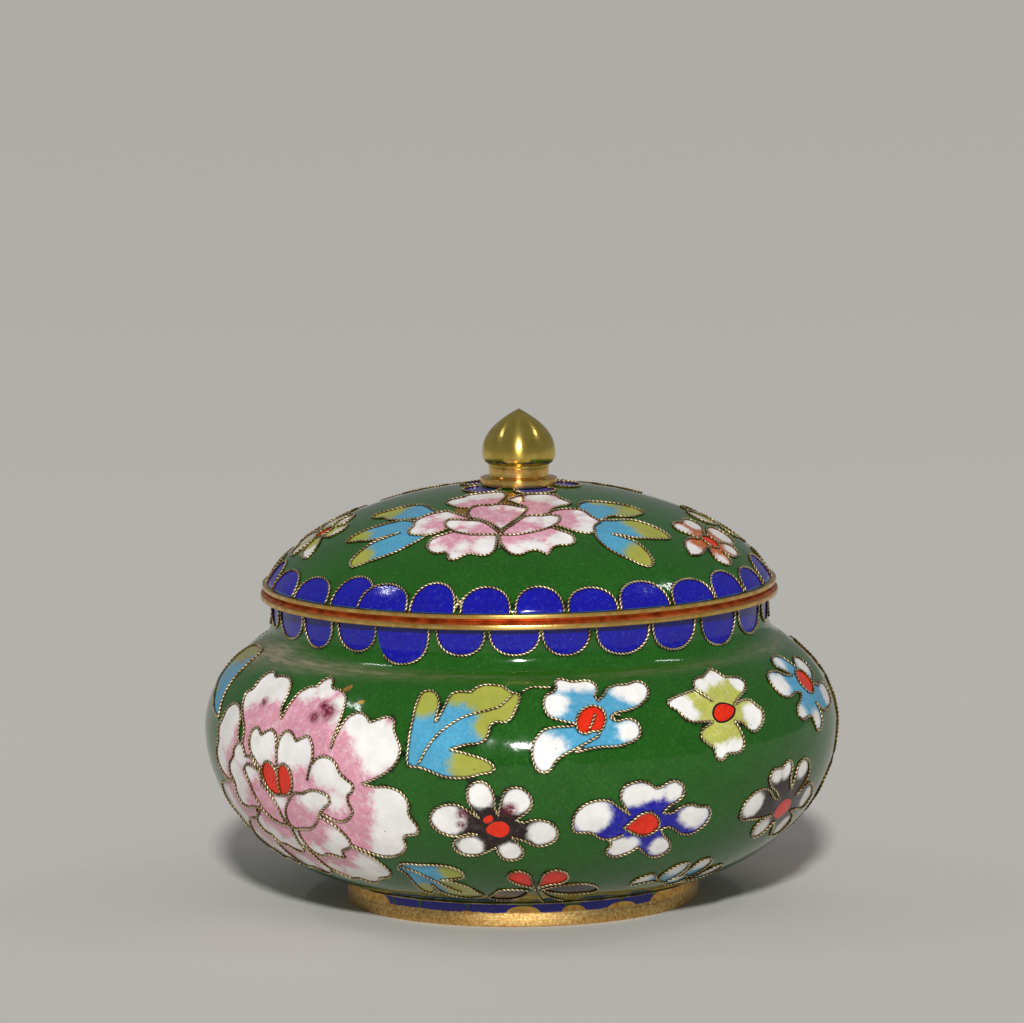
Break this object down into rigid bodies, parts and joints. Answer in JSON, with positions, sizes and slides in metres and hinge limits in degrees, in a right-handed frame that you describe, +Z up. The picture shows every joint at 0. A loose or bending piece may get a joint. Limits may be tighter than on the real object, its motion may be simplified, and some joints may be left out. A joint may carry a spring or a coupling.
{
  "type": "lidded cloisonne jar",
  "caption": "Squat round cloisonne enamel jar with a loose domed lid, gilt rims, a gilt foot ring and an onion-shaped gilt finial.",
  "frame": {"origin": "on the jar's axis at the level its foot ring stands on", "axes": "+Z up along the jar's axis, -Y towards the side that the picture shows"},
  "size_m": [0.1, 0.1, 0.0776],
  "materials": {
    "green_enamel": "glossy mottled green enamel over copper, with inlaid flowers in other colours between fine gilt wires",
    "gilt_brass": "polished gilt brass"
  },
  "bodies": {
    "root": {"jar_foot_ring": "gilt_brass", "jar_body": "green_enamel", "jar_mouth_ring": "gilt_brass", "lid_rim_ring": "gilt_brass", "lid_dome": "green_enamel", "lid_finial": "gilt_brass"}
  },
  "joints": []
}
